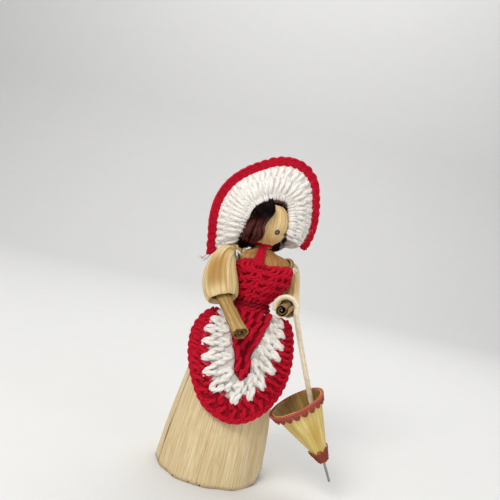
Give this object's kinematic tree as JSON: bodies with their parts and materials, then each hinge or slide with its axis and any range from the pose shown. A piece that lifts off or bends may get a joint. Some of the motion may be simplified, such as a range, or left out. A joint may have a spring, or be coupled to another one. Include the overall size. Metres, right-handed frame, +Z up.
{
  "type": "corn husk doll",
  "caption": "Corn husk doll of a lady in a crocheted bonnet, bodice and apron, with a hooked husk parasol hanging from one bent arm",
  "frame": {"origin": "On the surface that the doll stands on, under the middle of its bounding box", "axes": "X to the viewer's right when the doll faces the viewer, Y from the doll's front to its back, Z up"},
  "size_m": [0.093, 0.0658, 0.1752],
  "materials": {
    "pale_corn_husk": "dried corn husk leaf, matte with fine lengthwise veins",
    "inner_corn_husk": "darker inner corn husk leaf, matte",
    "ochre_corn_husk": "ochre corn husk, slightly translucent",
    "cream_corn_husk": "cream corn husk leaf with lengthwise creases, soft sheen",
    "face_corn_husk": "corn husk stretched smooth over a ball, satin",
    "yellow_corn_husk": "golden corn husk rolled to a cone, satin",
    "red_acrylic_yarn": "red acrylic yarn, crocheted, fuzzy",
    "white_acrylic_yarn": "white acrylic yarn, crocheted, fuzzy",
    "coral_yarn": "coral crochet lace",
    "auburn_hair": "dark auburn doll hair, glossy strands",
    "cotton_thread": "off-white cotton thread",
    "foam_ball": "white foam ball, matte",
    "brown_bead": "small dark brown bead, glossy",
    "steel_wire": "bare steel wire, dull",
    "handle_wrap": "cream husk strip wound on the handle"
  },
  "bodies": {
    "doll": {"skirt_leaf_1": "pale_corn_husk", "skirt_leaf_2": "pale_corn_husk", "skirt_leaf_3": "pale_corn_husk", "skirt_leaf_4": "pale_corn_husk", "skirt_leaf_5": "pale_corn_husk", "skirt_leaf_6": "pale_corn_husk", "skirt_lining": "inner_corn_husk", "body_bundle": "pale_corn_husk", "chest_wrap": "ochre_corn_husk", "shoulder_roll": "pale_corn_husk", "shoulder_wire": "steel_wire", "waist_tie": "cotton_thread", "neck_tie": "cotton_thread", "bodice": "red_acrylic_yarn", "bodice_strap": "red_acrylic_yarn", "apron_border": "red_acrylic_yarn", "apron_band": "white_acrylic_yarn", "apron_center": "red_acrylic_yarn", "apron_waistband": "red_acrylic_yarn"},
    "head": {"head_ball": "foam_ball", "head_husk": "face_corn_husk", "hair_cap": "auburn_hair", "hair_left": "auburn_hair", "hair_right": "auburn_hair", "hair_fringe": "auburn_hair", "eye_right": "brown_bead", "eye_left": "brown_bead", "bonnet": "white_acrylic_yarn", "bonnet_edging": "red_acrylic_yarn"},
    "right_arm": {"right_sleeve": "cream_corn_husk", "right_upper_arm_roll": "pale_corn_husk", "right_upper_arm_wire": "steel_wire", "right_shoulder_tie": "white_acrylic_yarn"},
    "right_forearm": {"right_forearm_roll": "cream_corn_husk", "right_forearm_wire": "steel_wire"},
    "left_arm": {"left_sleeve": "cream_corn_husk", "left_upper_arm_roll": "pale_corn_husk", "left_upper_arm_wire": "steel_wire", "left_shoulder_tie": "white_acrylic_yarn"},
    "left_forearm": {"left_forearm_roll": "cream_corn_husk", "left_forearm_wire": "steel_wire"},
    "parasol": {"parasol_canopy": "yellow_corn_husk", "parasol_handle": "handle_wrap", "parasol_wire": "steel_wire", "parasol_rim_lace": "coral_yarn", "parasol_tip_lace": "coral_yarn"}
  },
  "joints": [
    {"name": "head_turn", "type": "hinge", "parent": "doll", "child": "head", "pos_m": [-0.01321, 0.00337, 0.12302], "axis": [0, 0, 1], "range_deg": [-25, 2]},
    {"name": "right_shoulder", "type": "hinge", "parent": "doll", "child": "right_arm", "pos_m": [-0.02451, 0.00287, 0.11802], "axis": [-1, 0, 0], "range_deg": [0, 34]},
    {"name": "right_elbow", "type": "hinge", "parent": "right_arm", "child": "right_forearm", "pos_m": [-0.02921, -0.00933, 0.09352], "axis": [-1, 0, 0], "range_deg": [-10, 12]},
    {"name": "left_shoulder", "type": "hinge", "parent": "doll", "child": "left_arm", "pos_m": [-0.00031, 0.00557, 0.11632], "axis": [0, -1, 0], "range_deg": [0, 30]},
    {"name": "left_elbow", "type": "hinge", "parent": "left_arm", "child": "left_forearm", "pos_m": [0.00699, -0.00113, 0.09452], "axis": [-1, 0, 0], "range_deg": [0, 14]},
    {"name": "parasol_swing", "type": "hinge", "parent": "left_forearm", "child": "parasol", "pos_m": [0.00483, -0.01173, 0.09444], "axis": [-0.1997, -0.9798, -0.0074], "range_deg": [0, 50]}
  ]
}
